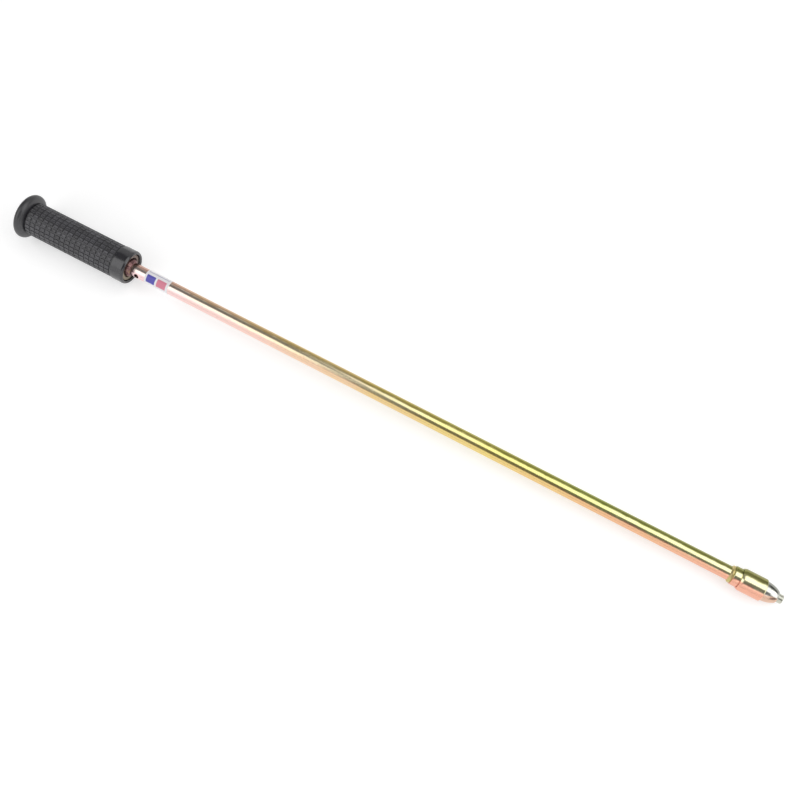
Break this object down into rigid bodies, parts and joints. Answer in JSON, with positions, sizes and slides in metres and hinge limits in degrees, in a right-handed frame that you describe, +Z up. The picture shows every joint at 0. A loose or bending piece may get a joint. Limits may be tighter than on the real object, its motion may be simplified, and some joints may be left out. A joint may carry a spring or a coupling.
{
  "type": "magnetic pickup tool",
  "caption": "Long hand tool for picking up steel parts: rubber grip, straight hollow steel shaft, and a magnet head with a tapered nose and a small pole at its end.",
  "frame": {"origin": "on the floor, under the middle of the tool's length, with the tool lying down", "axes": "+X along the tool from the butt of the grip to the magnet, +Z up. The axis of the shaft dips 0.87 degrees towards the magnet, because the grip's flange is thicker than the magnet head."},
  "size_m": [0.7622, 0.0426, 0.0426],
  "materials": {
    "grip_rubber": "moulded, satin",
    "zinc_plated_steel": "yellow iridescent zinc plating, bright",
    "weld_metal": "rippled, plated over",
    "plain_steel": "bare, oiled",
    "label_film": "printed polyester film",
    "magnet_alloy": "ground",
    "brass": "turned",
    "bright_nickel": "bright nickel plating",
    "pole_iron": "turned, bright"
  },
  "bodies": {
    "root": {"grip": "grip_rubber", "core_end_cap": "plain_steel", "handle_core_tube": "zinc_plated_steel", "rear_bushing": "zinc_plated_steel", "rear_weld_bead": "weld_metal", "front_bushing": "zinc_plated_steel", "front_weld_bead": "weld_metal", "shaft_tube": "zinc_plated_steel", "label": "label_film", "tip_weld_bead": "weld_metal", "tip_adaptor": "zinc_plated_steel", "tip_sleeve": "zinc_plated_steel", "back_iron_disc": "plain_steel", "magnet": "magnet_alloy", "magnet_spacer": "brass", "nose_shell": "bright_nickel", "pole_pin": "pole_iron"}
  },
  "joints": []
}
